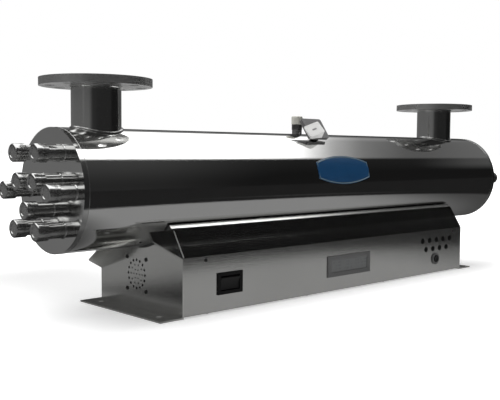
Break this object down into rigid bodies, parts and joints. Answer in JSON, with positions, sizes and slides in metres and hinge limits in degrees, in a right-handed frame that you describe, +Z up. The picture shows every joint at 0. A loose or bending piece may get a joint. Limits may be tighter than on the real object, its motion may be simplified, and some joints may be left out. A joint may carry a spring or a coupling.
{
  "type": "uv water clarifier",
  "caption": "Horizontal polished steel ultraviolet water clarifier: flanged chamber with lamp glands on each end, lying on a folded steel control cabinet with feet.",
  "frame": {"origin": "on the floor, under the middle of the chamber", "axes": "+X along the chamber from the inlet end to the outlet end, -Y towards the operator's panel, +Z up"},
  "size_m": [1.396, 0.2705, 0.426],
  "materials": {
    "polished_steel": "mirror polished",
    "satin_steel": "satin, folded sheet",
    "nut_steel": "turned and polished",
    "inner_steel": "mill finish",
    "quartz": "clear quartz",
    "lamp_glass": "clear tube with amalgam",
    "lamp_ceramic": "unglazed base",
    "rubber_black": "moulded rubber",
    "label_blue": "enamelled plate",
    "head_plastic": "moulded, off white",
    "cap_ivory": "moulded, pale",
    "probe_black": "moulded",
    "switch_black": "moulded, fine grain",
    "rocker_black": "moulded, satin",
    "bezel_grey": "moulded",
    "window_grey": "tinted window",
    "lens_dark": "dark lens, unlit",
    "board_green": "circuit board",
    "button_black": "moulded",
    "fan_black": "moulded",
    "ballast_white": "painted case",
    "gland_black": "moulded nylon",
    "brass": "turned"
  },
  "bodies": {
    "frame": {"chamber_tube": "polished_steel", "end_plate_left": "polished_steel", "end_plate_right": "polished_steel", "baffle_plates": "inner_steel", "inlet_pipe": "polished_steel", "outlet_pipe": "polished_steel", "inlet_flange": "polished_steel", "outlet_flange": "polished_steel", "gland_sockets_left": "nut_steel", "gland_sockets_right": "nut_steel", "gland_nuts_left": "nut_steel", "gland_nuts_right": "nut_steel", "sleeve_o_rings": "rubber_black", "quartz_sleeves": "quartz", "uv_lamps": "lamp_glass", "lamp_bases": "lamp_ceramic", "lead_grommets": "rubber_black", "sensor_socket": "nut_steel", "sensor_probe": "probe_black", "sensor_head": "head_plastic", "sensor_collar": "bezel_grey", "vent_socket": "nut_steel", "vent_plug": "probe_black", "vent_cap": "cap_ivory", "name_plate": "label_blue", "saddle_strips": "rubber_black", "cradle_studs": "inner_steel", "cradle_rails": "inner_steel", "cradle_nuts": "inner_steel", "cabinet_cover": "satin_steel", "left_bracket": "satin_steel", "right_bracket": "satin_steel", "base_plate": "inner_steel", "cabinet_screws": "nut_steel", "switch_housing": "switch_black", "display_bezel": "bezel_grey", "display_window": "window_grey", "indicator_lenses": "lens_dark", "indicator_board": "board_green", "button_collar": "bezel_grey", "button_nut": "inner_steel", "fan_frame": "fan_black", "fan_screws": "nut_steel", "ballasts": "ballast_white", "ballast_tray": "inner_steel", "terminal_block": "gland_black", "cable_glands": "gland_black", "earth_stud": "brass"},
    "rocker": {"power_rocker": "rocker_black"},
    "button": {"alarm_button": "button_black"},
    "rotor": {"fan_rotor": "fan_black"}
  },
  "joints": [
    {"name": "rocker_tilt", "type": "hinge", "parent": "frame", "child": "rocker", "pos_m": [-0.3505, -0.1245, 0.0545], "axis": [1, 0, 0], "range_deg": [-16, 0]},
    {"name": "button_press", "type": "slide", "parent": "frame", "child": "button", "axis": [0, 1, 0], "range_m": [0, 0.003], "stiffness_N_per_m": 400},
    {"name": "fan_spin", "type": "hinge", "parent": "frame", "child": "rotor", "pos_m": [-0.4595, 0.009, 0.065], "axis": [1, 0, 0], "continuous": true}
  ]
}
